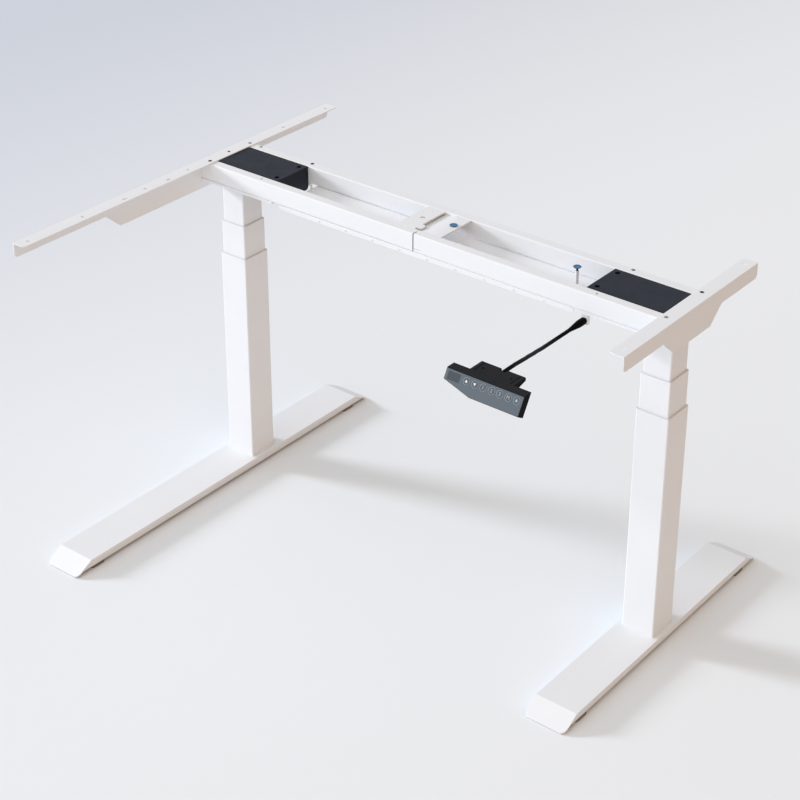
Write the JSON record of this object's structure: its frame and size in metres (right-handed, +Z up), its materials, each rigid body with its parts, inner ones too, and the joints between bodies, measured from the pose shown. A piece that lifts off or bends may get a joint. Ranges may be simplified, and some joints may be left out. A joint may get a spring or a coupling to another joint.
{
  "type": "standing desk frame",
  "caption": "Electric height-adjustable desk frame in white powder-coated steel, with a long left foot and bracket, a width-adjustable crossbar, motor covers and a handset on a short cable.",
  "frame": {"origin": "middle of the frame's bounding box on the floor", "axes": "+X along the crossbar towards the handset side, +Y from the user towards the back, +Z up"},
  "size_m": [1.14, 0.929, 0.7333],
  "materials": {
    "white_paint": "fine matt white powder coat",
    "black_rubber": "matt black pads",
    "glide_plastic": "pale acetal",
    "zinc_steel": "zinc plated steel",
    "screw_steel": "turned steel",
    "nut_brass": "plain bronze",
    "motor_casting": "dark cast body",
    "black_steel": "black oxide",
    "cover_plastic": "fine grained black",
    "blue_plastic": "smooth blue",
    "black_plastic": "fine grained black",
    "white_plastic": "plain white",
    "face_plastic": "slate grey membrane",
    "key_plastic": "slate grey membrane keys",
    "display_window": "dark clear window",
    "cable_rubber": "matt black PVC"
  },
  "bodies": {
    "left_base": {"left_foot": "white_paint", "left_foot_bolts": "zinc_steel", "left_outer_tube": "white_paint", "left_outer_glide": "glide_plastic"},
    "left_front_pad": {"left_front_leveller": "black_rubber"},
    "left_rear_pad": {"left_rear_leveller": "black_rubber"},
    "left_mid": {"left_mid_tube": "white_paint", "left_mid_glide": "glide_plastic", "left_nut_tube": "nut_brass"},
    "left_top": {"left_inner_tube": "white_paint", "left_motor": "motor_casting", "left_cover": "cover_plastic", "left_cover_screws": "black_steel", "left_bracket": "white_paint", "left_rail_bolts": "black_steel", "left_front_rail": "white_paint", "left_rear_rail": "white_paint", "left_tie_plate": "white_paint"},
    "left_upper_screw": {"left_spindle": "screw_steel"},
    "left_hollow_screw": {"left_lower_screw": "screw_steel"},
    "right_top": {"right_inner_tube": "white_paint", "right_motor": "motor_casting", "right_cover": "cover_plastic", "right_cover_screws": "black_steel", "right_bracket": "white_paint", "right_rail_bolts": "black_steel", "right_front_rail": "white_paint", "right_rear_rail": "white_paint", "front_tongue": "zinc_steel", "rear_tongue": "zinc_steel", "right_tie_plate": "white_paint", "tray": "white_paint", "tray_screws": "zinc_steel", "control_box": "black_plastic", "handset_socket": "white_plastic", "handset_housing": "black_plastic", "handset_front": "face_plastic", "handset_display": "display_window", "handset_cable": "cable_rubber", "handset_plug": "cable_rubber"},
    "right_mid": {"right_mid_tube": "white_paint", "right_mid_glide": "glide_plastic", "right_nut_tube": "nut_brass"},
    "right_base": {"right_foot": "white_paint", "right_foot_bolts": "zinc_steel", "right_outer_tube": "white_paint", "right_outer_glide": "glide_plastic"},
    "right_front_pad": {"right_front_leveller": "black_rubber"},
    "right_rear_pad": {"right_rear_leveller": "black_rubber"},
    "right_upper_screw": {"right_spindle": "screw_steel"},
    "right_hollow_screw": {"right_lower_screw": "screw_steel"},
    "left_knob": {"left_lock_knob": "blue_plastic"},
    "right_knob": {"right_lock_knob": "blue_plastic"},
    "key_up_cap": {"key_up": "key_plastic"},
    "key_down_cap": {"key_down": "key_plastic"},
    "key_one_cap": {"key_one": "key_plastic"},
    "key_two_cap": {"key_two": "key_plastic"},
    "key_three_cap": {"key_three": "key_plastic"},
    "key_memory_cap": {"key_memory": "key_plastic"},
    "key_timer_cap": {"key_timer": "key_plastic"}
  },
  "joints": [
    {"name": "left_lower_lift", "type": "slide", "parent": "left_base", "child": "left_mid", "axis": [0, 0, 1], "range_m": [-0.07, 0.255]},
    {"name": "left_upper_lift", "type": "slide", "parent": "left_mid", "child": "left_top", "axis": [0, 0, 1], "range_m": [-0.07, 0.255]},
    {"name": "width", "type": "slide", "parent": "left_top", "child": "right_top", "axis": [1, 0, 0], "range_m": [0, 0.33]},
    {"name": "right_upper_lift", "type": "slide", "parent": "right_top", "child": "right_mid", "axis": [0, 0, -1], "range_m": [-0.07, 0.255]},
    {"name": "right_lower_lift", "type": "slide", "parent": "right_mid", "child": "right_base", "axis": [0, 0, -1], "range_m": [-0.07, 0.255]},
    {"name": "left_upper_screw_turn", "type": "hinge", "parent": "left_top", "child": "left_upper_screw", "pos_m": [-0.52, 0.113, 0.5], "axis": [0, 0, 1], "range_deg": [-2520, 9180]},
    {"name": "left_hollow_screw_turn", "type": "hinge", "parent": "left_base", "child": "left_hollow_screw", "pos_m": [-0.52, 0.113, 0.2], "axis": [0, 0, 1], "range_deg": [-2520, 9180]},
    {"name": "right_upper_screw_turn", "type": "hinge", "parent": "right_top", "child": "right_upper_screw", "pos_m": [0.52, 0.113, 0.5], "axis": [0, 0, 1], "range_deg": [-2520, 9180]},
    {"name": "right_hollow_screw_turn", "type": "hinge", "parent": "right_base", "child": "right_hollow_screw", "pos_m": [0.52, 0.113, 0.2], "axis": [0, 0, 1], "range_deg": [-2520, 9180]},
    {"name": "left_front_levelling", "type": "slide", "parent": "left_base", "child": "left_front_pad", "axis": [0, 0, -1], "range_m": [0, 0.005]},
    {"name": "left_rear_levelling", "type": "slide", "parent": "left_base", "child": "left_rear_pad", "axis": [0, 0, -1], "range_m": [0, 0.005]},
    {"name": "right_front_levelling", "type": "slide", "parent": "right_base", "child": "right_front_pad", "axis": [0, 0, -1], "range_m": [0, 0.005]},
    {"name": "right_rear_levelling", "type": "slide", "parent": "right_base", "child": "right_rear_pad", "axis": [0, 0, -1], "range_m": [0, 0.005]},
    {"name": "left_knob_turn", "type": "hinge", "parent": "right_top", "child": "left_knob", "pos_m": [0.031, 0.121, 0.73], "axis": [0, 0, 1], "range_deg": [0, 90]},
    {"name": "right_knob_turn", "type": "hinge", "parent": "right_top", "child": "right_knob", "pos_m": [0.317, 0.121, 0.73], "axis": [0, 0, 1], "range_deg": [0, 90]},
    {"name": "key_up_press", "type": "slide", "parent": "right_top", "child": "key_up_cap", "axis": [0, 0.866, -0.5], "range_m": [0, 0.0004], "stiffness_N_per_m": 4000},
    {"name": "key_down_press", "type": "slide", "parent": "right_top", "child": "key_down_cap", "axis": [0, 0.866, -0.5], "range_m": [0, 0.0004], "stiffness_N_per_m": 4000},
    {"name": "key_one_press", "type": "slide", "parent": "right_top", "child": "key_one_cap", "axis": [0, 0.866, -0.5], "range_m": [0, 0.0004], "stiffness_N_per_m": 4000},
    {"name": "key_two_press", "type": "slide", "parent": "right_top", "child": "key_two_cap", "axis": [0, 0.866, -0.5], "range_m": [0, 0.0004], "stiffness_N_per_m": 4000},
    {"name": "key_three_press", "type": "slide", "parent": "right_top", "child": "key_three_cap", "axis": [0, 0.866, -0.5], "range_m": [0, 0.0004], "stiffness_N_per_m": 4000},
    {"name": "key_memory_press", "type": "slide", "parent": "right_top", "child": "key_memory_cap", "axis": [0, 0.866, -0.5], "range_m": [0, 0.0004], "stiffness_N_per_m": 4000},
    {"name": "key_timer_press", "type": "slide", "parent": "right_top", "child": "key_timer_cap", "axis": [0, 0.866, -0.5], "range_m": [0, 0.0004], "stiffness_N_per_m": 4000}
  ],
  "couplings": [
    {"joint": "left_upper_lift", "follows": "left_lower_lift", "ratio": 1},
    {"joint": "right_upper_lift", "follows": "left_lower_lift", "ratio": 1},
    {"joint": "right_lower_lift", "follows": "left_lower_lift", "ratio": 1},
    {"joint": "left_upper_screw_turn", "follows": "left_lower_lift", "rad_per_m": 628.32},
    {"joint": "left_hollow_screw_turn", "follows": "left_lower_lift", "rad_per_m": 628.32},
    {"joint": "right_upper_screw_turn", "follows": "left_lower_lift", "rad_per_m": 628.32},
    {"joint": "right_hollow_screw_turn", "follows": "left_lower_lift", "rad_per_m": 628.32}
  ]
}
